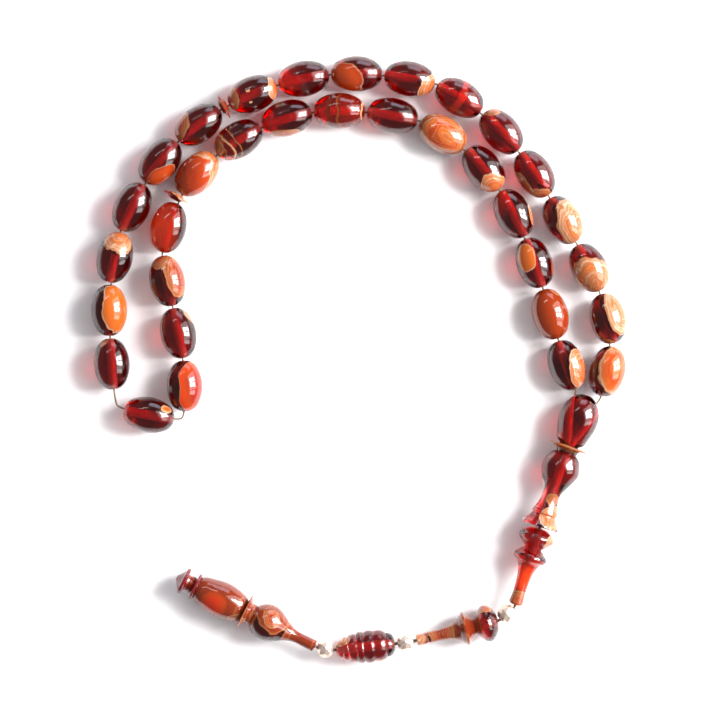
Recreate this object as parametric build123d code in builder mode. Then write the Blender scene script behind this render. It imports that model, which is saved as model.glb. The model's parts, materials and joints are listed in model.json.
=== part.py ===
from build123d import *

import math
import os

# Misbaha prayer beads: thirty-three oval beads and two divider discs on one thin cord, whose two ends
# pass through the imame and, side by side, through a tail of turned pieces and small metal beads.
# Millimetres. The beads lie flat on Z = 0; X and Y are centred on the whole string.

# ---------------------------------------------------------------- beads and discs
BEAD_LENGTH = 13.0
BEAD_RADIUS = 4.5
BEAD_END_RADIUS = 3.8  # the rounding of a bead's two ends
BEAD_BORE = 0.75
MOUTH_RADIUS = 1.05  # the bore opens into a small countersink at each end
MOUTH_DEPTH = 0.3
DISC_RADIUS = 3.3
DISC_HALF = 0.9
DISC_RIM = 0.2  # half the thickness of the disc's edge
DISC_BORE = 0.85

# ---------------------------------------------------------------- cord
CORD_RADIUS = 0.25
PAIR_RADIUS = 0.45  # the two ends of the cord, twisted together
CORD_END = 0.12  # how far a stretch of cord stops short of the line it folds about
MOST_SAG = 0.35  # the cord rounds a corner this far inside it, so it stays off the bores' walls
RUN_SHARE = 0.45  # and each arc takes at most this share of its shorter run
BEAD_Z = 4.5
IMAME_Z = 5.02
TAIL_Z = 4.7

# The cord's route round the loop, from the imame's right mouth back to its left one. The points lie
# between the beads, in the two divider discs, and at the four bends about the loose bead.
LOOP_ROUTE = [
    (60.9, -9.2),
    (64.3, 4.0),
    (61.2, 17.3),
    (54.9, 29.4),
    (48.1, 41.2),
    (40.7, 52.4),
    (31.5, 62.4),
    (19.8, 69.3),
    (6.6, 71.8),
    (-6.8, 71.9),
    (-19.9, 69.3),
    (-33.3, 63.7),
    (-45.0, 55.2),
    (-53.4, 44.5),
    (-59.1, 32.4),
    (-62.0, 19.4),
    (-61.8, 6.0),
    (-60.6, -10.1),
    (-59.2, -12.0),
    (-44.8, -14.9),
    (-42.9, -13.7),
    (-43.2, 0.5),
    (-46.1, 13.5),
    (-48.7, 26.6),
    (-45.3, 41.1),
    (-35.4, 51.8),
    (-23.9, 58.8),
    (-11.1, 62.6),
    (2.3, 62.6),
    (15.5, 60.1),
    (27.4, 53.4),
    (36.0, 42.8),
    (42.2, 30.9),
    (46.5, 18.2),
    (50.1, 5.3),
    (54.7, -7.3),
]
DISC_POINTS = [11, 24]
BARE_RUNS = [17, 19]  # the two short runs where the cord shows between beads
# Where the first end of a bead lies on its run; elsewhere the bead is centred between its neighbours.
FIRST_END = {10: 0.2, 11: 1.3, 16: 0.2, 18: 0.8, 20: 1.0, 23: 0.5, 24: 1.3}
# The loop folds about three straight lines, each through one gap of either strand, so the cord is in
# four stretches. Each entry is the two points of the route that a line passes through.
FOLDS = [(3, 33), (7, 29), (14, 23)]

# ---------------------------------------------------------------- tail
# The tail's route: the imame's top, then the middle of each gap, and the last piece's tip.
TAIL_ROUTE = [
    (57.6, -8.1, IMAME_Z),
    (45.7, -41.4, IMAME_Z),
    (39.4, -61.4, TAIL_Z),
    (35.6, -64.8, TAIL_Z),
    (14.5, -69.9, TAIL_Z),
    (9.8, -70.6, TAIL_Z),
    (-5.5, -72.2, TAIL_Z),
    (-10.2, -71.4, TAIL_Z),
    (-45.0, -54.0, TAIL_Z),
]
PIECE_CLEAR = 0.4  # half a gap between two pieces of the tail
TAIL_BORE = 0.8
STRAND_BORE = 0.65
JOIN_AT = 13.3  # where the imame's two slanting bores meet, from its top
METAL_RADIUS = 2.5
METAL_END_RADIUS = 1.25
METAL_WAIST = 0.75  # half the length of the metal bead's middle band
METAL_SIDES = 9
RIB_LENGTHS = [2.0, 3.1, 2.6, 1.8, 2.1, 1.4, 1.6]
RIBBED_RADIUS = 4.15
RIB_CREST_AT = 5.4  # the ribbed bead is widest here, nearer its first end
RIB_GROOVE = 0.35
CHAMBER_RADIUS = 1.7
CHAMBER_START = 28.6  # the knot's chamber, from the start of the end piece
BODY_END = 32.9  # the end piece's body stops here, and the cap closes it
CAP_FIT = 0.03
KNOT_RADIUS = 1.25

os.makedirs("parts", exist_ok=True)


def finish(name, part):
    part.label = name
    export_step(part, f"parts/{name}.step")


def point_of(route, index, z=BEAD_Z):
    place = route[index]
    return Vector(place[0], place[1], place[2] if len(place) > 2 else z)


def turning_plane(start, axis):
    """A plane along a turned piece's axis: its X runs along the axis and its Y is the radius."""
    return Plane(origin=start, x_dir=axis, z_dir=axis.cross(Vector(0, 0, 1)))


def turned(start, axis, draw_outline):
    """A piece turned about the axis, from an outline drawn in distance along it and radius."""
    with BuildPart() as piece:
        with BuildSketch(turning_plane(start, axis)):
            with BuildLine():
                draw_outline()
            make_face()
        revolve(axis=Axis(start, axis))
    return piece.part


# ---------------------------------------------------------------- outlines


def oval_outline():
    """A bead's outline: one wide arc along the side and a smaller tangent arc round each end."""
    half = BEAD_LENGTH / 2
    end_centre = half - BEAD_END_RADIUS
    side_radius = (BEAD_RADIUS**2 + end_centre**2 - BEAD_END_RADIUS**2) / (
        2 * (BEAD_RADIUS - BEAD_END_RADIUS)
    )
    lean = math.degrees(math.atan2(side_radius - BEAD_RADIUS, end_centre))
    mouth = math.degrees(math.asin(MOUTH_RADIUS / BEAD_END_RADIUS))
    face = end_centre + math.sqrt(BEAD_END_RADIUS**2 - MOUTH_RADIUS**2)
    CenterArc((end_centre, 0), BEAD_END_RADIUS, mouth, lean - mouth)
    CenterArc((0, BEAD_RADIUS - side_radius), side_radius, lean, 180 - 2 * lean)
    CenterArc((-end_centre, 0), BEAD_END_RADIUS, 180 - lean, lean - mouth)
    Polyline(
        (-face, MOUTH_RADIUS),
        (MOUTH_DEPTH - face, BEAD_BORE),
        (face - MOUTH_DEPTH, BEAD_BORE),
        (face, MOUTH_RADIUS),
    )


def disc_outline():
    """A divider disc: two shallow dished cones that meet in a thin edge."""
    ThreePointArc((-DISC_HALF, 1.5), (-0.45, 2.1), (-DISC_RIM, DISC_RADIUS))
    Line((-DISC_RIM, DISC_RADIUS), (DISC_RIM, DISC_RADIUS))
    ThreePointArc((DISC_RIM, DISC_RADIUS), (0.45, 2.1), (DISC_HALF, 1.5))
    Polyline((DISC_HALF, 1.5), (DISC_HALF, DISC_BORE), (-DISC_HALF, DISC_BORE), (-DISC_HALF, 1.5))


def imame_outline():
    """Oval head, thin flange over a collar, vase-shaped bulb, waist and trumpet end."""
    Spline((0, 0), (1.4, 3.2), (6.8, 5.0), (11.7, 3.85), (13.3, 2.3), tangents=((0, 1), (0.5, -0.87)))
    Polyline((13.3, 2.3), (13.5, 4.5), (13.75, 4.75), (14.0, 4.7), (14.6, 2.9), (15.4, 2.6))
    Spline(
        (15.4, 2.6),
        (17.2, 4.25),
        (19.9, 4.85),
        (22.5, 3.9),
        (24.9, 2.75),
        (28.0, 2.3),
        (31.4, 3.25),
        (34.2, 4.7),
        tangents=((0.25, 0.97), (0.78, 0.62)),
    )
    Polyline(
        (34.2, 4.7),
        (34.5, 4.8),
        (34.8, 4.6),
        (34.4, 2.0),
        (34.1, TAIL_BORE),
        (14.0, TAIL_BORE),
        (14.0, 0),
        (0, 0),
    )


def first_flange_outline():
    """Rounded bulge, neck, rounded flange and a stem that narrows and flares a little."""
    Spline((0, 1.3), (0.7, 3.2), (2.5, 4.5), (4.2, 3.2), (5.1, 2.15), tangents=((0.1, 1), (0.6, -0.8)))
    Spline((5.1, 2.15), (6.1, 3.2), (7.4, 4.2), (8.6, 3.5), tangents=((0.6, 0.8), (0.3, -0.95)))
    Spline(
        (8.6, 3.5),
        (10.2, 2.35),
        (13.1, 1.75),
        (16.0, 1.6),
        (19.4, 1.8),
        tangents=((0.5, -0.86), (1, 0.08)),
    )
    Polyline(
        (19.4, 1.8),
        (19.8, 1.6),
        (20.0, 1.2),
        (20.0, 1.1),
        (19.7, TAIL_BORE),
        (0.3, TAIL_BORE),
        (0, 1.1),
        (0, 1.3),
    )


def second_flange_outline():
    """Wider bulge, narrow neck, bevelled flange and a slender stem."""
    Spline((0, 1.3), (0.9, 3.4), (3.1, 4.68), (5.0, 3.1), (5.8, 1.85), tangents=((0.1, 1), (0.5, -0.87)))
    Spline((5.8, 1.85), (6.7, 2.6), (8.1, 4.2), tangents=((0.6, 0.8), (0.5, 0.87)))
    Polyline((8.1, 4.2), (8.6, 4.2), (9.5, 3.3))
    Spline(
        (9.5, 3.3),
        (11.0, 2.3),
        (13.6, 1.6),
        (17.0, 1.42),
        (20.6, 1.45),
        tangents=((0.5, -0.86), (1, 0)),
    )
    Polyline(
        (20.6, 1.45),
        (20.8, 1.3),
        (20.8, 1.05),
        (20.5, TAIL_BORE),
        (0.3, TAIL_BORE),
        (0, 1.1),
        (0, 1.3),
    )


def ribbed_radius(along):
    """The radius of the egg-shaped envelope of the ribbed bead."""
    total = sum(RIB_LENGTHS)
    reach = 6.0 if along < RIB_CREST_AT else total - RIB_CREST_AT + 0.7
    return RIBBED_RADIUS * math.sqrt(1 - ((along - RIB_CREST_AT) / reach) ** 2)


def ribbed_outline():
    """Seven rounded ribs with a sharp groove between each two."""
    total = sum(RIB_LENGTHS)
    edges = [sum(RIB_LENGTHS[:count]) for count in range(len(RIB_LENGTHS) + 1)]
    floors = [ribbed_radius(edge) - RIB_GROOVE for edge in edges]
    for first, last, low, high in zip(edges, edges[1:], floors, floors[1:]):
        middle = (first + last) / 2
        ThreePointArc((first, low), (middle, ribbed_radius(middle)), (last, high))
    Polyline((total, floors[-1]), (total, TAIL_BORE), (0, TAIL_BORE), (0, floors[0]))


def end_piece_outline():
    """Slender neck, bulb, collar, thin flange and oval body with a chamber for the knot."""
    Polyline((0, 1.1), (0, 1.35), (0.2, 1.5))
    Spline(
        (0.2, 1.5),
        (3.2, 1.45),
        (6.5, 1.75),
        (9.6, 3.4),
        (13.1, 4.68),
        (16.0, 3.8),
        (17.3, 2.45),
        tangents=((1, 0), (0.5, -0.87)),
    )
    Polyline((17.3, 2.45), (17.5, 2.75), (18.4, 2.75), (18.6, 2.9), (19.3, 4.3), (19.5, 4.5))
    Polyline((19.5, 4.5), (19.7, 4.4), (19.9, 2.7))
    Spline(
        (19.9, 2.7),
        (22.0, 3.9),
        (26.3, 4.5),
        (30.6, 3.75),
        (BODY_END, 2.75),
        tangents=((0.5, 0.87), (0.8, -0.6)),
    )
    Polyline(
        (BODY_END, 2.75),
        (BODY_END, CHAMBER_RADIUS),
        (CHAMBER_START, CHAMBER_RADIUS),
        (CHAMBER_START, TAIL_BORE),
        (0.3, TAIL_BORE),
        (0, 1.1),
    )


def cap_outline():
    """Plug, thin shoulder disc, ridged neck and a pointed finial; the plug starts inside the chamber."""
    plug = CHAMBER_RADIUS - CAP_FIT
    Polyline((31.6, 0), (31.6, plug), (BODY_END, plug), (BODY_END, 3.3), (33.1, 3.45), (33.5, 3.45))
    Polyline((33.5, 3.45), (33.65, 3.3), (33.75, 2.0), (34.5, 2.3), (35.3, 1.9), (35.8, 2.1))
    Polyline((35.8, 2.1), (35.95, 3.3), (36.15, 3.5))
    Polyline((36.15, 3.5), (36.8, 3.4), (37.1, 2.7), (38.2, 1.0), (38.5, 0.6), (38.5, 0), (31.6, 0))


# ---------------------------------------------------------------- cord


def cord_radii(points):
    """The largest arc at each corner that its runs and the bores leave room for."""
    radii = []
    for before, corner, after in zip(points, points[1:], points[2:]):
        half = math.radians((corner - before).get_angle(after - corner)) / 2
        by_run = RUN_SHARE * min((corner - before).length, (after - corner).length) / math.tan(half)
        by_bore = MOST_SAG / (1 / math.cos(half) - 1)
        radii.append(min(by_run, by_bore))
    return radii


def shortened(points, at_start, at_end):
    """The same route, stopping short at both ends by these lengths."""
    first = points[0] + (points[1] - points[0]).normalized() * at_start
    last = points[-1] + (points[-2] - points[-1]).normalized() * at_end
    return [first, *points[1:-1], last]


def add_cord(points, radius, at_start=CORD_END, at_end=CORD_END):
    """Adds a tube along straight runs joined by tangent arcs to the part being built."""
    points = shortened(points, at_start, at_end)
    if len(points) == 2:
        with BuildLine(mode=Mode.PRIVATE) as path:
            Line(*points)
    else:
        radii = cord_radii(points)
        print("radii", [round(each, 1) for each in radii])
        with BuildLine(mode=Mode.PRIVATE) as path:
            FilletPolyline(*points, radius=radii)
    wire = path.wires()[0]
    with BuildSketch(Plane(origin=wire @ 0, z_dir=wire % 0)) as section:
        Circle(radius)
    sweep(sections=section.sketch, path=wire)
    return wire.length * math.pi * radius**2


# ---------------------------------------------------------------- places

LOOP = [point_of(LOOP_ROUTE, index) for index in range(len(LOOP_ROUTE))]
TAIL = [point_of(TAIL_ROUTE, index) for index in range(len(TAIL_ROUTE))]


def direction(points, index):
    return (points[index + 1] - points[index]).normalized()


def bead_places():
    """Each bead's centre and axis, in order along the cord."""
    places = []
    for run in range(len(LOOP) - 1):
        if run in BARE_RUNS:
            continue
        spare = (LOOP[run + 1] - LOOP[run]).length - BEAD_LENGTH
        first_end = FIRST_END.get(run, spare / 2)
        centre = LOOP[run] + direction(LOOP, run) * (first_end + BEAD_LENGTH / 2)
        places.append((centre, direction(LOOP, run)))
    return places


def disc_places():
    """Each divider disc's centre and axis, square to the bend of the cord in it."""
    return [
        (LOOP[index], (direction(LOOP, index - 1) + direction(LOOP, index)).normalized())
        for index in DISC_POINTS
    ]


BEADS = bead_places()
DISCS = disc_places()

# ---------------------------------------------------------------- loop

for number, (centre, axis) in enumerate(BEADS, 1):
    finish(f"bead_{number:02d}", turned(centre, axis, oval_outline))

for number, (centre, axis) in enumerate(DISCS, 1):
    finish(f"divider_disc_{number}", turned(centre, axis, disc_outline))

# The strands of each stretch, from one fold line to the next on the way out and on the way back; the
# last stretch goes round the far end in one piece.
near, middle, far = FOLDS
STRETCHES = {
    "loop_cord_near": [(0, near[0]), (near[1], len(LOOP) - 1)],
    "loop_cord_middle": [(near[0], middle[0]), (middle[1], near[1])],
    "loop_cord_far": [(middle[0], far[0]), (far[1], middle[1])],
    "loop_cord_end": [(far[0], far[1])],
}

for name, strands in STRETCHES.items():
    expected = 0
    with BuildPart() as stretch:
        for first, last in strands:
            expected += add_cord(LOOP[first : last + 1], CORD_RADIUS)
    print(name, "volume", round(stretch.part.volume, 3), "section times length", round(expected, 3))
    finish(name, stretch.part)

# ---------------------------------------------------------------- imame

imame_axis = direction(TAIL, 0)
imame_start = TAIL[0] + imame_axis * PIECE_CLEAR
strands_meet = imame_start + imame_axis * JOIN_AT
mouths = [LOOP[0], LOOP[-1]]

with BuildPart() as imame:
    with BuildSketch(turning_plane(imame_start, imame_axis)):
        with BuildLine():
            imame_outline()
        make_face()
    revolve(axis=Axis(imame_start, imame_axis))
    for mouth in mouths:
        slant = (strands_meet - mouth).normalized()
        with BuildSketch(Plane(origin=mouth, z_dir=slant)):
            Circle(STRAND_BORE)
        extrude(amount=(strands_meet - mouth).length, mode=Mode.SUBTRACT)
    with BuildSketch(Plane(origin=strands_meet - imame_axis, z_dir=imame_axis)):
        Circle(TAIL_BORE)
    extrude(amount=2, mode=Mode.SUBTRACT)
finish("imame", imame.part)

# The cord's two ends slant in through the imame's mouths and go on as a pair.
with BuildPart() as imame_cord:
    add_cord([strands_meet, TAIL[1]], PAIR_RADIUS, at_start=0)
    for mouth in mouths:
        add_cord([mouth, strands_meet], CORD_RADIUS, at_end=-2 * PAIR_RADIUS)
finish("tail_cord_imame", imame_cord.part)

# ---------------------------------------------------------------- the rest of the tail


def metal_bead(start, axis, length):
    """A faceted bead: a middle band and a bevelled band at either end."""
    stations = [0, length / 2 - METAL_WAIST, length / 2 + METAL_WAIST, length]
    radii = [METAL_END_RADIUS, METAL_RADIUS, METAL_RADIUS, METAL_END_RADIUS]
    with BuildPart() as bead:
        for along, radius in zip(stations, radii):
            with BuildSketch(Plane(origin=start + axis * along, x_dir=(0, 0, 1), z_dir=axis)):
                RegularPolygon(radius, METAL_SIDES)
        loft(ruled=True)
        with BuildSketch(Plane(origin=start, z_dir=axis)):
            Circle(TAIL_BORE)
        extrude(amount=length, mode=Mode.SUBTRACT)
    return bead.part


TAIL_PIECES = [
    ("tail_flange_bead_1", first_flange_outline),
    ("tail_metal_bead_1", None),
    ("tail_flange_bead_2", second_flange_outline),
    ("tail_metal_bead_2", None),
    ("tail_ribbed_bead", ribbed_outline),
    ("tail_metal_bead_3", None),
    ("tail_end_piece", end_piece_outline),
]

for index, (name, outline) in enumerate(TAIL_PIECES, 1):
    axis = direction(TAIL, index)
    start = TAIL[index] + axis * PIECE_CLEAR
    if outline is None:
        length = (TAIL[index + 1] - TAIL[index]).length - 2 * PIECE_CLEAR
        finish(name, metal_bead(start, axis, length))
    else:
        finish(name, turned(start, axis, outline))

end_axis = direction(TAIL, 7)
end_start = TAIL[7] + end_axis * PIECE_CLEAR
knot_centre = end_start + end_axis * (CHAMBER_START + KNOT_RADIUS + 0.1)
finish("tail_end_cap", turned(end_start, end_axis, cap_outline))

for index in range(1, 7):
    with BuildPart() as link:
        add_cord([TAIL[index], TAIL[index + 1]], PAIR_RADIUS)
    finish(f"tail_cord_{index}", link.part)

with BuildPart() as last_link:
    add_cord([TAIL[7], knot_centre - end_axis * KNOT_RADIUS], PAIR_RADIUS, at_end=0.05)
finish("tail_cord_7", last_link.part)

with BuildPart() as knot:
    with BuildSketch(turning_plane(knot_centre, end_axis)):
        with BuildLine():
            CenterArc((0, 0), KNOT_RADIUS, 0, 180)
            Line((-KNOT_RADIUS, 0), (KNOT_RADIUS, 0))
        make_face()
    revolve(axis=Axis(knot_centre, end_axis))
finish("cord_knot", knot.part)
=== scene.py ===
import json
import math

import bpy
from mathutils import Matrix, Vector


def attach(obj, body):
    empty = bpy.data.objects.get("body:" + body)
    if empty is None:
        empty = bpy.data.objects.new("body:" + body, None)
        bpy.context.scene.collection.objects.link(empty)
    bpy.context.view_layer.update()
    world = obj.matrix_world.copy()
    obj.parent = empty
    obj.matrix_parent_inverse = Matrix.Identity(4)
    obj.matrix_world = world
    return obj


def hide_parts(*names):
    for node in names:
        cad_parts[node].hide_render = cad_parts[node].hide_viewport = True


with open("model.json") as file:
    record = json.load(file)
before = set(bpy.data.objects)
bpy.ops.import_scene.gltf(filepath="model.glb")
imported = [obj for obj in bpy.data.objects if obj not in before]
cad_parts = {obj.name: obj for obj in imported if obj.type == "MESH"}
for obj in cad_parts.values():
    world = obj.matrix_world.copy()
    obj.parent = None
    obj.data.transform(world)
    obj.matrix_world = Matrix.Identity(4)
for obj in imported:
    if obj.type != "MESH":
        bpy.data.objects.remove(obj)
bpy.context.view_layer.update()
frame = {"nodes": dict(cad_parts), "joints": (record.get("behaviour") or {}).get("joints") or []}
MM = 0.001

JOINTS = {joint["name"]: joint for joint in frame["joints"]}
NODES = frame["nodes"]

# ---------------------------------------------------------------- sizes, in metres
BEAD_RADIUS = 4.5 * MM
BEAD_STRETCH = 13.0 / 9.0  # a bead's length over its width
CORD_RADIUS = 0.25 * MM
PAIR_RADIUS = 0.42 * MM
TWIST_PITCH = 1.6 * MM  # one turn of the cord's strands
BEAD_Z = 4.5
IMAME_Z = 5.02
TAIL_Z = 4.7
BORE_REACH = 1.0 * MM  # a bore's wall is nearer its line than this

# The cord's route round the loop, in millimetres: the same points as the model's cord.
LOOP_ROUTE = [
    (60.9, -9.2),
    (64.3, 4.0),
    (61.2, 17.3),
    (54.9, 29.4),
    (48.1, 41.2),
    (40.7, 52.4),
    (31.5, 62.4),
    (19.8, 69.3),
    (6.6, 71.8),
    (-6.8, 71.9),
    (-19.9, 69.3),
    (-33.3, 63.7),
    (-45.0, 55.2),
    (-53.4, 44.5),
    (-59.1, 32.4),
    (-62.0, 19.4),
    (-61.8, 6.0),
    (-60.6, -10.1),
    (-59.2, -12.0),
    (-44.8, -14.9),
    (-42.9, -13.7),
    (-43.2, 0.5),
    (-46.1, 13.5),
    (-48.7, 26.6),
    (-45.3, 41.1),
    (-35.4, 51.8),
    (-23.9, 58.8),
    (-11.1, 62.6),
    (2.3, 62.6),
    (15.5, 60.1),
    (27.4, 53.4),
    (36.0, 42.8),
    (42.2, 30.9),
    (46.5, 18.2),
    (50.1, 5.3),
    (54.7, -7.3),
]
TAIL_ROUTE = [
    (57.6, -8.1, IMAME_Z),
    (45.7, -41.4, IMAME_Z),
    (39.4, -61.4, TAIL_Z),
    (35.6, -64.8, TAIL_Z),
    (14.5, -69.9, TAIL_Z),
    (9.8, -70.6, TAIL_Z),
    (-5.5, -72.2, TAIL_Z),
    (-10.2, -71.4, TAIL_Z),
    (-45.0, -54.0, TAIL_Z),
]
LOOP = [Vector((x, y, BEAD_Z)) * MM for x, y in LOOP_ROUTE]
TAIL = [Vector(point) * MM for point in TAIL_ROUTE]
STRANDS_MEET = TAIL[0] + (TAIL[1] - TAIL[0]).normalized() * 13.7 * MM


# ---------------------------------------------------------------- colours
CREAM = (0.38, 0.175, 0.09)
PALE = (0.52, 0.29, 0.17)
TAN = (0.30, 0.088, 0.028)
GOLD = (0.28, 0.085, 0.020)
ORANGE = (0.46, 0.095, 0.012)
DEEP_ORANGE = (0.36, 0.040, 0.005)
FLAME = (0.62, 0.036, 0.006)
AMBER = (0.24, 0.022, 0.004)
ROSE = (0.30, 0.022, 0.012)
RUST = (0.22, 0.024, 0.005)
BROWN = (0.085, 0.018, 0.008)
PLUM = (0.18, 0.012, 0.015)
# GLOW is painted light in the glow palette: the red of clear resin where the window's light is focused.
GLOW = (0.95, 0.035, 0.012)
SCARLET = (0.95, 0.050, 0.007)
FROST = (0.92, 0.86, 0.82)  # the drilled wall of a bore
CLEAR = (0.88, 0.60, 0.60)

# Each palette runs from a patch's edge to its middle: place, colour and how opaque the resin is there.
PALETTES = {
    "eye": [
        (0.0, BROWN, 0.9),
        (0.02, TAN, 1),
        (0.035, CREAM, 1),
        (0.085, PALE, 1),
        (0.105, ORANGE, 1),
        (0.135, CREAM, 1),
        (0.15, ORANGE, 1),
        (0.4, DEEP_ORANGE, 1),
        (0.6, ORANGE, 1),
        (1.0, DEEP_ORANGE, 1),
    ],
    "lobe": [
        (0.0, BROWN, 0.9),
        (0.015, CREAM, 1),
        (0.045, PALE, 1),
        (0.06, TAN, 1),
        (0.08, ORANGE, 1),
        (0.5, ORANGE, 1),
        (1.0, DEEP_ORANGE, 1),
    ],
    "agate": [
        (0.0, BROWN, 0.9),
        (0.02, CREAM, 1),
        (0.05, PALE, 1),
        (0.065, TAN, 1),
        (0.1, ORANGE, 1),
        (0.12, CREAM, 1),
        (0.14, TAN, 1),
        (0.2, ORANGE, 1),
        (0.22, PALE, 1),
        (0.25, TAN, 1),
        (0.33, ORANGE, 1),
        (0.36, CREAM, 1),
        (0.38, DEEP_ORANGE, 1),
        (0.55, ORANGE, 1),
        (0.6, TAN, 1),
        (1.0, DEEP_ORANGE, 1),
    ],
    "cream": [
        (0.0, BROWN, 0.9),
        (0.02, CREAM, 1),
        (0.08, TAN, 1),
        (0.11, PALE, 1),
        (0.17, CREAM, 1),
        (0.2, TAN, 1),
        (0.24, PALE, 1),
        (0.27, ORANGE, 1),
        (0.31, CREAM, 1),
        (0.35, TAN, 1),
        (0.44, ORANGE, 1),
        (0.5, CREAM, 1),
        (0.53, TAN, 1),
        (0.7, ORANGE, 1),
        (1.0, TAN, 1),
    ],
    "dome": [
        (0.0, TAN, 1),
        (0.04, TAN, 1),
        (0.06, CREAM, 1),
        (0.09, TAN, 1),
        (0.14, PALE, 1),
        (0.17, TAN, 1),
        (0.3, ORANGE, 1),
        (0.36, TAN, 1),
        (0.42, CREAM, 1),
        (0.5, TAN, 1),
        (1.0, TAN, 1),
    ],
    "gold": [
        (0.0, BROWN, 0.9),
        (0.03, GOLD, 1),
        (0.06, TAN, 1),
        (0.075, CREAM, 1),
        (0.09, GOLD, 1),
        (0.13, RUST, 1),
        (0.17, TAN, 1),
        (0.2, GOLD, 1),
        (0.26, RUST, 1),
        (0.28, TAN, 1),
        (0.31, DEEP_ORANGE, 0.95),
        (0.42, RUST, 0.9),
        (0.7, AMBER, 0.85),
    ],
    "amber": [
        (0.0, GOLD, 1),
        (0.025, CREAM, 1),
        (0.05, AMBER, 1),
        (0.2, DEEP_ORANGE, 0.95),
        (0.5, DEEP_ORANGE, 0.95),
        (1.0, AMBER, 0.9),
    ],
    "rose": [
        (0.0, BROWN, 1),
        (0.02, CREAM, 1),
        (0.04, GOLD, 1),
        (0.055, FLAME, 1),
        (0.3, DEEP_ORANGE, 0.95),
        (0.6, ROSE, 0.85),
        (1.0, ROSE, 0.8),
    ],
    "flame": [
        (0.0, CREAM, 1),
        (0.03, TAN, 1),
        (0.05, PALE, 1),
        (0.07, GOLD, 1),
        (0.09, PALE, 1),
        (0.12, DEEP_ORANGE, 0.9),
        (0.5, AMBER, 0.8),
        (1.0, DEEP_ORANGE, 0.75),
    ],
    "stripes": [
        (0.0, BROWN, 0.6),
        (0.02, TAN, 0.8),
        (0.05, TAN, 0.8),
        (0.07, BROWN, 0.0),
        (0.27, BROWN, 0.0),
        (0.29, GOLD, 0.9),
        (0.32, CREAM, 1),
        (0.37, PALE, 1),
        (0.39, GOLD, 0.9),
        (0.42, BROWN, 0.0),
        (0.62, BROWN, 0.0),
        (0.64, GOLD, 0.6),
        (0.68, GOLD, 0.6),
        (0.7, BROWN, 0.0),
    ],
    "edge": [
        (0.0, TAN, 0.9),
        (0.03, PALE, 1),
        (0.07, CREAM, 1),
        (0.09, GOLD, 0.7),
        (0.13, BROWN, 0.0),
    ],
    "veil": [
        (0.0, GLOW, 0.0),
        (0.05, GLOW, 0.2),
        (0.3, GLOW, 0.2),
        (0.34, GLOW, 0.0),
    ],
    # Painted light: bright red laid into the left side of clear beads, where the resin focuses the window's
    # light.
    "glow": [
        (0.0, GLOW, 0.0),
        (0.35, GLOW, 0.1),
        (0.7, GLOW, 0.2),
        (1.0, GLOW, 0.25),
    ],
    "haze": [
        (0.0, FLAME, 0.1),
        (0.45, FLAME, 0.35),
        (1.0, SCARLET, 0.7),
    ],
    "ember": [
        (0.0, RUST, 0.8),
        (0.2, DEEP_ORANGE, 0.8),
        (0.5, FLAME, 0.7),
        (1.0, FLAME, 0.7),
    ],
    "swirl": [
        (0.0, BROWN, 0.9),
        (0.03, GOLD, 1),
        (0.1, TAN, 1),
        (0.14, CREAM, 1),
        (0.17, TAN, 1),
        (0.25, GOLD, 1),
        (0.32, RUST, 1),
        (0.36, CREAM, 1),
        (0.4, TAN, 1),
        (0.5, ORANGE, 1),
        (0.6, DEEP_ORANGE, 1),
        (0.75, ORANGE, 1),
        (0.85, TAN, 1),
        (1.0, ORANGE, 1),
    ],
    "bands": [
        (0.0, GLOW, 0.0),
        (0.1, GLOW, 0.05),
        (0.36, GLOW, 0.08),
        (0.4, RUST, 0.5),
        (0.5, RUST, 0.3),
        (0.54, GLOW, 0.08),
        (0.7, GLOW, 0.08),
        (0.74, GOLD, 0.6),
        (0.8, RUST, 0.4),
        (0.84, GLOW, 0.08),
        (1.0, GLOW, 0.1),
    ],
    "honey": [
        (0.0, TAN, 0.55),
        (0.15, DEEP_ORANGE, 0.5),
        (0.5, DEEP_ORANGE, 0.6),
        (1.0, DEEP_ORANGE, 0.65),
    ],
    "rust": [
        (0.0, BROWN, 0.9),
        (0.04, GOLD, 0.95),
        (0.07, TAN, 0.95),
        (0.1, RUST, 0.9),
        (0.3, RUST, 0.8),
        (0.36, TAN, 0.9),
        (0.4, RUST, 0.8),
        (0.9, RUST, 0.7),
        (1.0, RUST, 0.7),
    ],
    "copper": [
        (0.0, BROWN, 0.8),
        (0.03, TAN, 0.9),
        (0.1, GOLD, 0.9),
        (0.16, ORANGE, 0.9),
        (0.24, GOLD, 0.9),
        (0.3, TAN, 0.9),
        (0.36, BROWN, 0.8),
        (0.38, BROWN, 0.0),
    ],
    "plum": [
        (0.0, PLUM, 0.8),
        (1.0, PLUM, 0.8),
    ],
}

# How strongly fine pale lines show over each palette.
LINES = {
    "agate": 0.35,
    "cream": 0.35,
    "dome": 0.3,
    "swirl": 0.3,
    "gold": 0.3,
    "eye": 0.08,
    "rust": 0.06,
    "copper": 0.2,
}
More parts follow.
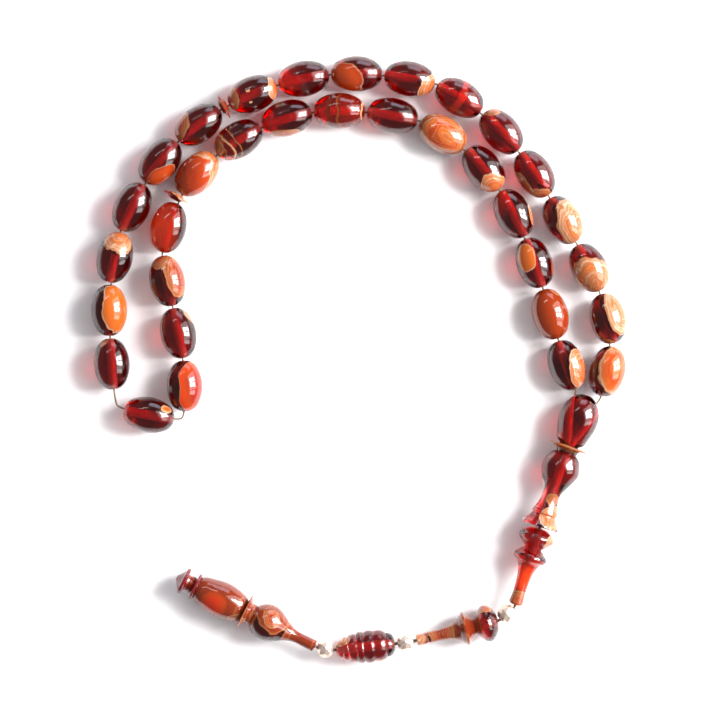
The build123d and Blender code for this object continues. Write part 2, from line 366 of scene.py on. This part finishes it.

# Patches on each bead: a palette and the balls that the patch fills, each with its centre towards the
# right, the loop's far side and up, and its radius, in a space where the bead is a ball of radius 1. A
# large ball far off gives straight bands. The glow patches sit at a clear bead's left and are painted
# light: the window's light that the clear resin focuses into that side, laid in as bright red colour.
PATCHES = {
    1: [("eye", [(0.3, 0.05, 0.5, 1.0)])],
    2: [("cream", [(0.6, 0.35, 0.5, 0.95)]), ("gold", [(-0.1, -0.95, 0.3, 0.35)])],
    3: [("dome", [(0.15, -0.45, 0.45, 1.02)])],
    4: [("cream", [(0.45, -0.1, 0.5, 0.98)])],
    5: [("gold", [(-0.75, -0.6, 0.35, 0.6), (0.2, -1.0, 0.35, 0.62)])],
    6: [("gold", [(-0.35, 0.85, 0.5, 0.45)])],
    7: [("veil", [(-4.2, 2.2, 0.9, 5.0)])],
    8: [("agate", [(1.1, -0.55, 0.2, 0.95)])],
    9: [("amber", [(-0.5, -0.3, 0.5, 0.85)])],
    10: [("glow", [(-0.6, -0.2, 0.2, 1.0)])],
    11: [
        ("gold", [(-1.0, -0.2, 0.4, 0.7)]),
        ("agate", [(1.15, 0.25, 0.3, 0.78)]),
        ("edge", [(-0.2, 0.15, 0.98, 0.1), (-0.1, -0.5, 0.85, 0.09)]),
    ],
    12: [("gold", [(-0.9, -0.05, 0.45, 0.72)])],
    13: [("amber", [(0.15, -0.85, 0.4, 0.7)])],
    14: [("glow", [(-0.9, 0.2, -0.2, 0.7)])],
    15: [("cream", [(0.25, 0.9, 0.45, 0.95)])],
    16: [("lobe", [(0.5, 0.05, 0.45, 1.0)])],
    17: [("gold", [(-1.15, 0.0, 0.25, 0.42), (-0.35, 0.85, 0.5, 0.28)])],
    18: [("eye", [(0.82, 0.35, 0.5, 0.3)]), ("glow", [(-0.7, -0.1, 0.0, 0.8)])],
    19: [("rose", [(0.7, 0, 0.5, 1.08)])],
    20: [("agate", [(0.75, 0.85, 0.15, 0.45)]), ("glow", [(-0.9, 0.3, -0.2, 0.7)])],
    21: [("gold", [(-0.35, 0.9, 0.4, 0.62), (0.65, 0.25, 0.5, 0.85)])],
    # Bead 22's haze lies towards its left, so that side is brighter: real haze in the resin, with painted
    # light focused into that side.
    22: [("haze", [(-0.9, 0, 0.2, 1.6)])],
    23: [("cream", [(0.6, 0.3, 0.3, 1.3)]), ("flame", [(-0.32, -0.18, 0.4, 1.15)])],
    24: [("gold", [(-0.9, -0.3, 0.4, 0.6)]), ("stripes", [(-3.8, -2.2, 0.9, 4.35)])],
    25: [("gold", [(0, -1.25, 0.3, 0.75)]), ("glow", [(-0.7, 0.1, 0.0, 0.9)])],
    26: [("bands", [(4.9, 0, 0.9, 5.75)]), ("edge", [(4.7, 0, 0.6, 3.95)])],
    27: [],
    28: [("swirl", [(0.05, -0.1, 0.6, 1.2)])],
    29: [("agate", [(0.4, -0.7, 0.45, 0.72)])],
    30: [("agate", [(1.25, 0.2, 0.2, 0.62)]), ("glow", [(-0.6, 0.3, 0.4, 0.75)])],
    31: [("lobe", [(-0.45, 0.15, 0.75, 0.55)]), ("amber", [(1.2, -0.15, 0.2, 0.45)])],
    32: [("honey", [(-0.3, -0.1, 0.3, 1.5)]), ("gold", [(0.5, 1.05, 0.3, 0.35)])],
    33: [("agate", [(0.75, -0.1, 0.45, 0.88)])],
}


# ---------------------------------------------------------------- materials
# The swirls of poured resin: how fine each one is, and how far it shifts a patch.
WARPS = ((0.8, 0.45), (2.6, 0.16), (8.0, 0.035))
LINES_PER_UNIT = 85.0  # how closely the fine lines follow one another inwards from a patch's edge
LINE_DRIFT = 9.0
LINE_THINNESS = 4.0
EDGE_SHARPNESS = 60.0  # how quickly a patch's cover rises from its edge
COLOUR_SHARPNESS = 25.0  # how little cover brings in a patch's full colour
FROST_COVER = 0.85
FROST_ROUGHNESS = 0.5
RESIN_IOR = 1.54
RESIN_DENSITY = 650.0
RESIN_TINT = (0.82, 0.06, 0.04, 1)  # what light keeps as it passes through


def new_material(name):
    material = bpy.data.materials.new(name)
    material.use_nodes = True
    material.node_tree.nodes.clear()
    return material, material.node_tree


def put(tree, kind, **values):
    """Adds a node; values whose names are inputs set them, and the others set its settings."""
    node = tree.nodes.new(kind)
    for key, value in values.items():
        if key in node.inputs:
            node.inputs[key].default_value = value
        else:
            setattr(node, key, value)
    return node


def math_node(tree, operation, first, second=None, third=None, clamp=False):
    node = tree.nodes.new("ShaderNodeMath")
    node.operation = operation
    node.use_clamp = clamp
    for socket, value in zip(node.inputs, (first, second, third)):
        if value is None:
            continue
        if isinstance(value, (int, float)):
            socket.default_value = value
        else:
            tree.links.new(value, socket)
    return node.outputs[0]


def vector_node(tree, operation, first, second):
    node = tree.nodes.new("ShaderNodeVectorMath")
    node.operation = operation
    for socket, value in zip(node.inputs, (first, second)):
        if isinstance(value, (tuple, Vector)):
            socket.default_value = value
        else:
            tree.links.new(value, socket)
    return node.outputs["Value" if operation in ("LENGTH", "DOT_PRODUCT") else "Vector"]


def ramp_node(tree, factor, stops):
    node = tree.nodes.new("ShaderNodeValToRGB")
    elements = node.color_ramp.elements
    for place, colour, opaque in stops[1:-1]:
        elements.new(place)
    for element, (place, colour, opaque) in zip(elements, stops):
        element.position = place
        element.color = (*colour, opaque)
    tree.links.new(factor, node.inputs["Fac"])
    return node.outputs["Color"], node.outputs["Alpha"]


def mix_colour(tree, factor, first, second):
    node = tree.nodes.new("ShaderNodeMix")
    node.data_type = "RGBA"
    for socket, value in zip((node.inputs[0], node.inputs[6], node.inputs[7]), (factor, first, second)):
        if isinstance(value, (int, float, tuple)):
            socket.default_value = (*value, 1) if isinstance(value, tuple) else value
        else:
            tree.links.new(value, socket)
    return node.outputs[2]


def warped_place(tree, origin, heading, size, seed):
    """A point's place in a piece's own frame, with the slow swirls and the small waves of poured resin."""
    place = put(tree, "ShaderNodeTexCoord").outputs["Object"]
    local = put(tree, "ShaderNodeMapping", vector_type="TEXTURE")
    local.inputs["Location"].default_value = origin
    local.inputs["Rotation"].default_value = (0, 0, heading)
    local.inputs["Scale"].default_value = size
    tree.links.new(place, local.inputs["Vector"])
    local = local.outputs["Vector"]
    shifted = vector_node(tree, "ADD", local, (seed * 3.7, seed * 1.9, -seed * 2.3))
    warped = local
    for scale, amount in WARPS:
        noise = put(tree, "ShaderNodeTexNoise", Scale=scale, Detail=2.0)
        tree.links.new(shifted, noise.inputs["Vector"])
        centred = vector_node(tree, "SUBTRACT", noise.outputs["Color"], (0.5, 0.5, 0.5))
        warped = vector_node(tree, "ADD", warped, vector_node(tree, "MULTIPLY", centred, (amount,) * 3))
    return shifted, warped


def patch_depth(tree, place, balls):
    """How deep a point lies inside the nearest of a patch's balls."""
    depth = None
    for *centre, radius in balls:
        away = vector_node(tree, "SUBTRACT", place, tuple(centre))
        inside = math_node(tree, "SUBTRACT", radius, vector_node(tree, "LENGTH", away, (0, 0, 0)))
        depth = inside if depth is None else math_node(tree, "MAXIMUM", depth, inside)
    return depth


def near_lines(tree, lines, reach):
    """1 within this reach of any of the lines, each a point and a direction, and 0 further away."""
    place = put(tree, "ShaderNodeTexCoord").outputs["Object"]
    found = None
    for point, direction in lines:
        arm = vector_node(tree, "SUBTRACT", place, tuple(point))
        across = vector_node(tree, "CROSS_PRODUCT", arm, tuple(Vector(direction).normalized()))
        distance = vector_node(tree, "LENGTH", across, (0, 0, 0))
        near = math_node(tree, "MULTIPLY_ADD", distance, -12.0 / reach, 12.0, clamp=True)
        found = near if found is None else math_node(tree, "MAXIMUM", found, near)
    return found


def resin(name, origin, heading, size, patches, bores, seed):
    """Polished cast resin: clear dark red, with opaque marbled patches and frosted bores."""
    material, tree = new_material(name)
    shifted, place = warped_place(tree, origin, heading, size, seed)
    grain = put(tree, "ShaderNodeTexNoise", Scale=5.0, Detail=4.0)
    tree.links.new(shifted, grain.inputs["Vector"])
    bore = near_lines(tree, bores, BORE_REACH)
    colour = mix_colour(tree, bore, CLEAR, FROST)
    opaque = math_node(tree, "MULTIPLY", bore, FROST_COVER)
    for palette, balls in patches:
        depth = patch_depth(tree, place, balls)
        # Fine lines follow the patch's edge, as in agate.
        drift = math_node(tree, "MULTIPLY", grain.outputs["Fac"], LINE_DRIFT)
        wave = math_node(tree, "MULTIPLY_ADD", depth, LINES_PER_UNIT, drift)
        line = math_node(tree, "MULTIPLY_ADD", math_node(tree, "SINE", wave), 0.5, 0.5)
        line = math_node(tree, "POWER", line, LINE_THINNESS)
        layer, cover = ramp_node(tree, depth, PALETTES[palette])
        strength = math_node(tree, "MULTIPLY", line, LINES.get(palette, 0.0))
        layer = mix_colour(tree, strength, layer, PALE)
        inside = math_node(tree, "MULTIPLY", depth, EDGE_SHARPNESS, clamp=True)
        cover = math_node(tree, "MULTIPLY", cover, inside)
        share = math_node(tree, "MULTIPLY", cover, COLOUR_SHARPNESS, clamp=True)
        colour = mix_colour(tree, share, colour, layer)
        opaque = math_node(tree, "MAXIMUM", cover, opaque)
    shader = put(tree, "ShaderNodeBsdfPrincipled", IOR=RESIN_IOR)
    shader.inputs["Coat Weight"].default_value = 0.4
    shader.inputs["Coat Roughness"].default_value = 0.015
    tree.links.new(colour, shader.inputs["Base Color"])
    tree.links.new(math_node(tree, "SUBTRACT", 1.0, opaque), shader.inputs["Transmission Weight"])
    polish = math_node(tree, "MULTIPLY_ADD", grain.outputs["Fac"], 0.03, 0.0)
    rough = math_node(tree, "MULTIPLY_ADD", bore, FROST_ROUGHNESS, polish)
    tree.links.new(rough, shader.inputs["Roughness"])
    output = put(tree, "ShaderNodeOutputMaterial")
    tree.links.new(shader.outputs["BSDF"], output.inputs["Surface"])
    absorb = put(tree, "ShaderNodeVolumeAbsorption", Density=RESIN_DENSITY)
    absorb.inputs["Color"].default_value = RESIN_TINT
    tree.links.new(absorb.outputs["Volume"], output.inputs["Volume"])
    return material


def dress(node, material):
    """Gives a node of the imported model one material."""
    node.data.materials.clear()
    node.data.materials.append(material)


# ---------------------------------------------------------------- beads


def heading_of(axis):
    return math.atan2(axis.y, axis.x)


def turned_to_axis(ball, heading):
    """A patch's ball, from the string's frame into the bead's own."""
    x, y, z, radius = ball
    centre = Matrix.Rotation(-heading, 3, "Z") @ Vector((x, y, z))
    return (centre.x, centre.y, centre.z, radius)


for number, patches in PATCHES.items():
    joint = JOINTS[f"spin_bead_{number:02d}"]
    heading = heading_of(Vector(joint["axis"]))
    local = [(palette, [turned_to_axis(ball, heading) for ball in balls]) for palette, balls in patches]
    size = (BEAD_RADIUS * BEAD_STRETCH, BEAD_RADIUS, BEAD_RADIUS)
    bores = [(joint["pos_m"], joint["axis"])]
    material = resin(f"bead_resin_{number:02d}", joint["pos_m"], heading, size, local, bores, number)
    dress(NODES[f"bead_{number:02d}"], material)

DISC_PATCHES = {1: [("gold", [(0, 0, 0.2, 1.1)])], 2: [("agate", [(0.55, -0.35, 0.3, 0.7)])]}
for number in DISC_PATCHES:
    joint = JOINTS[f"spin_disc_{number}"]
    heading = heading_of(Vector(joint["axis"]))
    size = (BEAD_RADIUS,) * 3
    patches = DISC_PATCHES[number]
    bores = [(joint["pos_m"], joint["axis"])]
    material = resin(f"disc_resin_{number}", joint["pos_m"], heading, size, patches, bores, 40 + number)
    dress(NODES[f"divider_disc_{number}"], material)

# ---------------------------------------------------------------- tail
# Patches in a tail piece's own frame, in millimetres: along it from its start, to its left and up.
TAIL_PATCHES = {
    "imame": [
        ("copper", [(313.2, 0, 0, 300.0)]),
        ("gold", [(27.5, 0.4, 2.2, 1.7)]),
        ("agate", [(32.0, 1.6, 2.5, 3.3)]),
    ],
    "tail_flange_bead_1": [
        ("haze", [(13.0, 0, 1.0, 6.0)]),
        ("agate", [(2.5, 4.2, 2.5, 2.4)]),
        ("gold", [(18.5, 0.5, 0.5, 2.6)]),
    ],
    "tail_flange_bead_2": [
        ("rust", [(8.5, 0, 1.0, 5.0)]),
        ("gold", [(3.0, -4.2, 1.5, 2.3), (14.5, 0, 0.5, 3.4)]),
        ("agate", [(8.8, 4.3, 0.5, 1.5)]),
        ("cream", [(20.4, 0, 0.5, 2.2)]),
    ],
    "tail_ribbed_bead": [("agate", [(4.0, 3.7, 0, 2.2), (13.2, -3.0, 2.0, 2.3)])],
    "tail_end_piece": [
        ("rust", [(4.0, 0, 0, 5.0), (12.4, -2.2, 2.4, 4.4), (19.6, 0, 0, 5.0), (27.5, -0.6, 1.0, 8.0)]),
        ("gold", [(12.6, -2.0, 4.4, 2.6), (20.6, 3.0, 3.0, 2.4)]),
        ("ember", [(27.5, 1.6, 4.0, 3.6)]),
    ],
    "tail_end_cap": [("plum", [(36.0, 0, 0, 9.0)]), ("ember", [(34.6, 0, 0, 2.2)])],
}
TAIL_UNIT = 4.5  # millimetres to one unit of the patterns


def piece_start(name, point, axis):
    """Where a node starts along its axis."""
    return min((vertex.co - point).dot(axis) for vertex in NODES[name].data.vertices)


def in_units(patches):
    """Patches given in millimetres, in the patterns' own units."""
    return [
        (palette, [tuple(value / TAIL_UNIT for value in ball) for ball in balls])
        for palette, balls in patches
    ]


for seed, (name, patches) in enumerate(TAIL_PATCHES.items(), 50):
    # The cap's patches are measured along the end piece that it closes.
    base = "tail_end_piece" if name == "tail_end_cap" else name
    if name == "imame":
        point, axis = TAIL[0], (TAIL[1] - TAIL[0]).normalized()
    else:
        joint = JOINTS["spin_" + base]
        point, axis = Vector(joint["pos_m"]), Vector(joint["axis"])
    origin = point + axis * piece_start(base, point, axis)
    size = (TAIL_UNIT * MM,) * 3
    bores = [(point, axis)]
    if name == "imame":
        bores += [(mouth, STRANDS_MEET - mouth) for mouth in (LOOP[0], LOOP[-1])]
    material = resin(name + "_resin", origin, heading_of(axis), size, in_units(patches), bores, seed)
    dress(NODES[name], material)


# ---------------------------------------------------------------- metal beads


def metal_material():
    material, tree = new_material("champagne_metal")
    place = put(tree, "ShaderNodeTexCoord").outputs["Object"]
    noise = put(tree, "ShaderNodeTexNoise", Scale=900.0, Detail=3.0)
    tree.links.new(place, noise.inputs["Vector"])
    tint, _ = ramp_node(
        tree, noise.outputs["Fac"], [(0.35, (0.92, 0.80, 0.70), 1), (0.65, (0.80, 0.60, 0.48), 1)]
    )
    shader = put(tree, "ShaderNodeBsdfPrincipled", Metallic=0.75)
    tree.links.new(tint, shader.inputs["Base Color"])
    wear = math_node(tree, "MULTIPLY_ADD", noise.outputs["Fac"], 0.16, 0.2)
    tree.links.new(wear, shader.inputs["Roughness"])
    output = put(tree, "ShaderNodeOutputMaterial")
    tree.links.new(shader.outputs["BSDF"], output.inputs["Surface"])
    return material


METAL = metal_material()
METAL_SIDES = 9
METAL_WIDEST = 2.45 * MM
METAL_BORE = 0.8 * MM
# The rings of corners along a metal bead: place from end to end, and radius over the widest.
METAL_ROWS = [(-1.0, 0.50), (-0.62, 0.86), (0.0, 1.0), (0.62, 0.86), (1.0, 0.50)]


def metal_bead(number):
    """A fire-polished bead: rows of facets in diamonds, offset half a facet from row to row, with a bore."""
    name = f"tail_metal_bead_{number}"
    joint = JOINTS["spin_" + name]
    centre, axis = Vector(joint["pos_m"]), Vector(joint["axis"])
    half = -piece_start(name, centre, axis)
    side = axis.cross(Vector((0, 0, 1))).normalized()
    up = side.cross(axis)
    vertices, faces = [], []

    def ring(along, radius, turn):
        for step in range(METAL_SIDES):
            angle = (step + turn) * math.tau / METAL_SIDES
            around = side * math.cos(angle) + up * math.sin(angle)
            vertices.append(centre + axis * along * half + around * radius)

    for row, (along, radius) in enumerate(METAL_ROWS):
        ring(along, radius * METAL_WIDEST, (row % 2) / 2)
    ring(1.0, METAL_BORE, 0)
    ring(-1.0, METAL_BORE, 0)
    count = METAL_SIDES
    rows = len(METAL_ROWS)
    for row in range(rows - 1):
        lower, upper = row * count, (row + 1) * count
        for step in range(count):
            after = (step + 1) % count
            if row % 2 == 0:
                faces.append((lower + step, lower + after, upper + step))
                faces.append((lower + after, upper + after, upper + step))
            else:
                faces.append((lower + step, lower + after, upper + after))
                faces.append((lower + step, upper + after, upper + step))
    top, near, far = (rows - 1) * count, rows * count, (rows + 1) * count
    for step in range(count):
        after = (step + 1) % count
        faces.append((top + step, top + after, near + after, near + step))
        faces.append((near + step, near + after, far + after, far + step))
        faces.append((far + step, far + after, after, step))
    mesh = bpy.data.meshes.new(f"metal_bead_{number}")
    mesh.from_pydata([tuple(vertex) for vertex in vertices], [], faces)
    mesh.validate()
    piece = bpy.data.objects.new(f"faceted_metal_bead_{number}", mesh)
    bpy.context.scene.collection.objects.link(piece)
    bevel = piece.modifiers.new("edge", "BEVEL")
    bevel.width = 0.06 * MM
    bevel.segments = 1
    mesh.materials.append(METAL)
    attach(piece, name)
    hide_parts(name)


for number in (1, 2, 3):
    metal_bead(number)

# ---------------------------------------------------------------- cord


def cord_material():
    material, tree = new_material("twisted_cord")
    place = put(tree, "ShaderNodeTexCoord").outputs["Object"]
    noise = put(tree, "ShaderNodeTexNoise", Scale=2600.0, Detail=4.0)
    tree.links.new(place, noise.inputs["Vector"])
    tint, _ = ramp_node(
        tree, noise.outputs["Fac"], [(0.3, (0.05, 0.022, 0.010), 1), (0.7, (0.30, 0.17, 0.075), 1)]
    )
    bump = put(tree, "ShaderNodeBump", Strength=0.4, Distance=0.00005)
    tree.links.new(noise.outputs["Fac"], bump.inputs["Height"])
    shader = put(tree, "ShaderNodeBsdfPrincipled", Roughness=0.55)
    shader.inputs["Sheen Weight"].default_value = 0.3
    tree.links.new(tint, shader.inputs["Base Color"])
    tree.links.new(bump.outputs["Normal"], shader.inputs["Normal"])
    output = put(tree, "ShaderNodeOutputMaterial")
    tree.links.new(shader.outputs["BSDF"], output.inputs["Surface"])
    return material


CORD = cord_material()
STRANDS = 3
STRAND_SHARE = 0.54  # a strand's radius over the cord's: three this thick fill its round
STRAND_SIDES = 7
RINGS_PER_TWIST = 14


def spline_points(name, route):
    """Points along the smooth line that a cord's route controls."""
    curve = bpy.data.curves.new(name, "CURVE")
    curve.dimensions = "3D"
    curve.resolution_u = 24
    spline = curve.splines.new("NURBS")
    spline.points.add(len(route) - 1)
    for point, place in zip(spline.points, route):
        point.co = (*place, 1)
    spline.order_u = 3
    spline.use_endpoint_u = True
    line = bpy.data.objects.new(name, curve)
    mesh = bpy.data.meshes.new_from_object(line)
    points = [vertex.co.copy() for vertex in mesh.vertices]
    bpy.data.objects.remove(line)
    bpy.data.meshes.remove(mesh)
    bpy.data.curves.remove(curve)
    return points


def evenly(points, step):
    """The same line with its points the same distance apart."""
    lengths = [(after - before).length for before, after in zip(points, points[1:])]
    total = sum(lengths)
    count = max(2, round(total / step))
    places, index, passed = [], 0, 0.0
    for number in range(count + 1):
        wanted = total * number / count
        while index < len(lengths) - 1 and passed + lengths[index] < wanted:
            passed += lengths[index]
            index += 1
        share = (wanted - passed) / lengths[index] if lengths[index] else 0
        places.append(points[index].lerp(points[index + 1], min(share, 1)))
    return places


def strand_tubes(name, lines, radius):
    """Strands twisted round each line, as one mesh."""
    vertices, faces = [], []
    sides = STRAND_SIDES
    thin = radius * STRAND_SHARE
    for points in lines:
        step = (points[1] - points[0]).length
        for strand in range(STRANDS):
            base = len(vertices)
            for place, point in enumerate(points):
                before = points[max(place - 1, 0)]
                after = points[min(place + 1, len(points) - 1)]
                along = (after - before).normalized()
                side = along.cross(Vector((0, 0, 1))).normalized()
                up = side.cross(along)
                turn = math.tau * (place * step / TWIST_PITCH + strand / STRANDS)
                core = point + (side * math.cos(turn) + up * math.sin(turn)) * (radius - thin)
                for corner in range(sides):
                    angle = math.tau * corner / sides
                    vertices.append(core + (side * math.cos(angle) + up * math.sin(angle)) * thin)
            rings = len(points)
            for ring in range(rings - 1):
                for corner in range(sides):
                    after = (corner + 1) % sides
                    lower, upper = base + ring * sides, base + (ring + 1) * sides
                    faces.append((lower + corner, lower + after, upper + after, upper + corner))
            faces.append(tuple(base + corner for corner in reversed(range(sides))))
            faces.append(tuple(base + (rings - 1) * sides + corner for corner in range(sides)))
    mesh = bpy.data.meshes.new(name)
    mesh.from_pydata([tuple(vertex) for vertex in vertices], [], faces)
    mesh.shade_smooth()
    mesh.materials.append(CORD)
    piece = bpy.data.objects.new(name, mesh)
    bpy.context.scene.collection.objects.link(piece)
    return piece


def cord_piece(node, body, routes, radius):
    step = TWIST_PITCH / RINGS_PER_TWIST
    lines = [evenly(spline_points(node + "_line", route), step) for route in routes]
    piece = strand_tubes(node + "_strands", lines, radius)
    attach(piece, body)
    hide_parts(node)


cord_piece("loop_cord_near", "loop_near", [LOOP[0:4], LOOP[33:36]], CORD_RADIUS)
cord_piece("loop_cord_middle", "loop_middle", [LOOP[3:8], LOOP[29:34]], CORD_RADIUS)
cord_piece("loop_cord_far", "loop_far", [LOOP[7:15], LOOP[23:30]], CORD_RADIUS)
cord_piece("loop_cord_end", "loop_end", [LOOP[14:24]], CORD_RADIUS)

for number, (start, end) in enumerate(zip(TAIL[1:-2], TAIL[2:-1]), 1):
    cord_piece(f"tail_cord_{number}", f"link_{number}", [[start, end]], PAIR_RADIUS)
cord_piece(
    "tail_cord_imame",
    "link_imame",
    [[LOOP[0], STRANDS_MEET], [LOOP[-1], STRANDS_MEET], [STRANDS_MEET, TAIL[1]]],
    CORD_RADIUS,
)
dress(NODES["tail_cord_7"], CORD)
dress(NODES["cord_knot"], CORD)

# ---------------------------------------------------------------- stage


def lamp(name, azimuth, elevation, distance, width, height, brightness, colour, roll=0):
    """A flat light facing the middle of the floor, as bright all over as a white wall times this."""
    data = bpy.data.lights.new(name, "AREA")
    data.shape = "RECTANGLE"
    data.size, data.size_y = width, height
    data.energy = brightness * math.pi * width * height
    data.color = colour
    light = bpy.data.objects.new(name, data)
    around, above = math.radians(azimuth), math.radians(elevation)
    place = Vector(
        (math.cos(above) * math.cos(around), math.cos(above) * math.sin(around), math.sin(above))
    )
    light.location = place * distance
    facing = place.to_track_quat("Z", "Y").to_matrix() @ Matrix.Rotation(math.radians(roll), 3, "Z")
    light.rotation_euler = facing.to_euler()
    bpy.context.scene.collection.objects.link(light)


def floor():
    material, tree = new_material("pale_floor")
    shader = put(tree, "ShaderNodeBsdfPrincipled", Roughness=0.9)
    shader.inputs["Base Color"].default_value = (0.93, 0.93, 0.94, 1)
    output = put(tree, "ShaderNodeOutputMaterial")
    tree.links.new(shader.outputs["BSDF"], output.inputs["Surface"])
    mesh = bpy.data.meshes.new("floor")
    reach = 3.0
    mesh.from_pydata(
        [(-reach, -reach, 0), (reach, -reach, 0), (reach, reach, 0), (-reach, reach, 0)], [], [(0, 1, 2, 3)]
    )
    mesh.materials.append(material)
    stage = bpy.data.objects.new("floor", mesh)
    bpy.context.scene.collection.objects.link(stage)
    stage.location.z = -0.0001


floor()
DAYLIGHT = (1.0, 0.98, 0.97)
lamp("window", 17, 33, 0.9, 0.82, 0.9, 3.2, DAYLIGHT)
# The window's four panes, by azimuth and elevation, with a bar between them each way.
PANES = [(5.5, 43.5), (24.5, 43.5), (5.0, 25.0), (21.0, 25.0)]
for number, (azimuth, elevation) in enumerate(PANES, 1):
    lamp(f"pane_{number}", azimuth, elevation, 0.88, 0.17, 0.24, 33.0, DAYLIGHT)
lamp("window_low", -22, 31, 0.9, 0.2, 0.6, 5.0, DAYLIGHT, 18)
lamp("window_far", 72, 16, 0.9, 0.5, 0.4, 3.0, (0.74, 0.83, 1.0))
lamp("strip", 112, 46, 0.9, 0.5, 0.04, 8.0, DAYLIGHT)

world = bpy.data.worlds.new("studio")
world.use_nodes = True
sky = world.node_tree
background = sky.nodes["Background"]
background.inputs["Color"].default_value = (0.98, 0.94, 0.96, 1)
# Polished things see a darker room than the one that fills the shadows.
FILL = 0.45
FILL_IN_REFLECTIONS = 0.20
rays = put(sky, "ShaderNodeLightPath")
fill = math_node(
    sky, "MULTIPLY_ADD", rays.outputs["Is Glossy Ray"], FILL_IN_REFLECTIONS - FILL, FILL
)
sky.links.new(fill, background.inputs["Strength"])
bpy.context.scene.world = world
bpy.context.scene.view_settings.view_transform = "Standard"

CAMERA_HEIGHT = 0.6
SEEN = 0.180  # the width of the view at the beads' height
camera_data = bpy.data.cameras.new("camera")
camera_data.sensor_width = 36.0
camera_data.lens = 36.0 * (CAMERA_HEIGHT - BEAD_Z * MM) / SEEN
camera = bpy.data.objects.new("camera", camera_data)
camera.location = (0.00077, 0.00028, CAMERA_HEIGHT)
bpy.context.scene.collection.objects.link(camera)
bpy.context.scene.camera = camera
